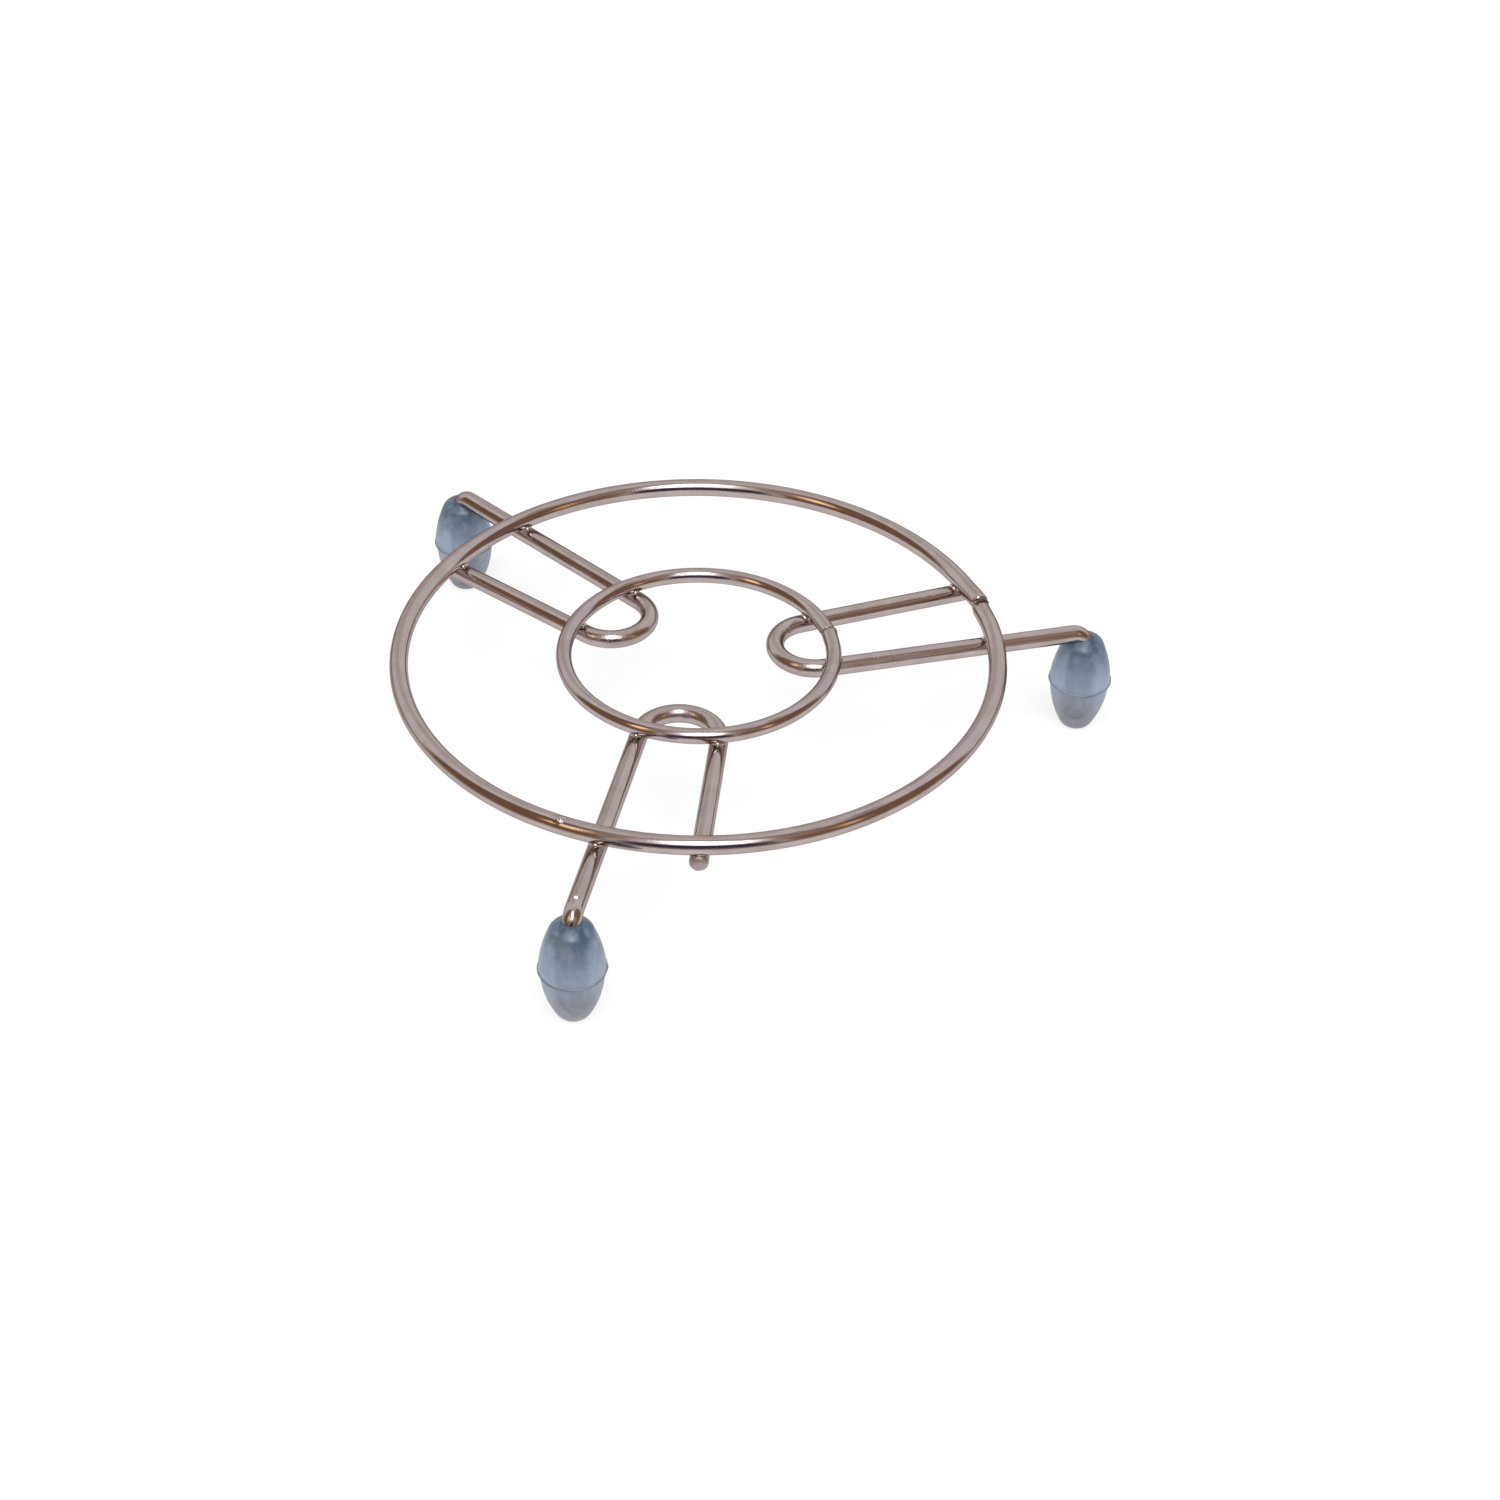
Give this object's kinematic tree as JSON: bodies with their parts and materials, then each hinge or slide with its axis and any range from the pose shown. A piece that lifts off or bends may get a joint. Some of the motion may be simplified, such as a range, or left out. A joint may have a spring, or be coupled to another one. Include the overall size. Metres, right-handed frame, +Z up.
{
  "type": "wire trivet",
  "caption": "Low round wire trivet: concentric plated wire rings welded on hairpin legs with push-on barrel feet of see-through plastic; keeps a hot pot or flask off the table.",
  "frame": {"origin": "middle of the rectangle that the whole trivet covers on the floor, at floor level", "axes": "+Z up, from the feet to the rings; the front hairpin points along -Y and the right one lies on the +X side"},
  "size_m": [0.1628, 0.16, 0.0304],
  "materials": {
    "plated_wire": "bright nickel plate over drawn steel wire, with faint draw marks",
    "weld_metal": "plated weld metal, a little rougher than the wire",
    "smoky_plastic": "smooth moulded, smoky blue and see-through"
  },
  "bodies": {
    "wire_frame": {"outer_ring": "plated_wire", "inner_ring": "plated_wire", "front_leg": "plated_wire", "right_leg": "plated_wire", "left_leg": "plated_wire", "outer_ring_butt_weld": "weld_metal", "outer_ring_welds": "weld_metal", "inner_ring_butt_weld": "weld_metal", "inner_ring_welds": "weld_metal"},
    "front_foot": {"front_foot": "smoky_plastic"},
    "right_foot": {"right_foot": "smoky_plastic"},
    "left_foot": {"left_foot": "smoky_plastic"}
  },
  "joints": [
    {"name": "front_foot_twist", "type": "hinge", "parent": "wire_frame", "child": "front_foot", "pos_m": [-0.01995, -0.07298, 0.012], "axis": [0, 0, 1], "continuous": true},
    {"name": "right_foot_twist", "type": "hinge", "parent": "wire_frame", "child": "right_foot", "pos_m": [0.07434, 0.03897, 0.012], "axis": [0, 0, 1], "continuous": true},
    {"name": "left_foot_twist", "type": "hinge", "parent": "wire_frame", "child": "left_foot", "pos_m": [-0.07434, 0.0695, 0.012], "axis": [0, 0, 1], "continuous": true}
  ]
}
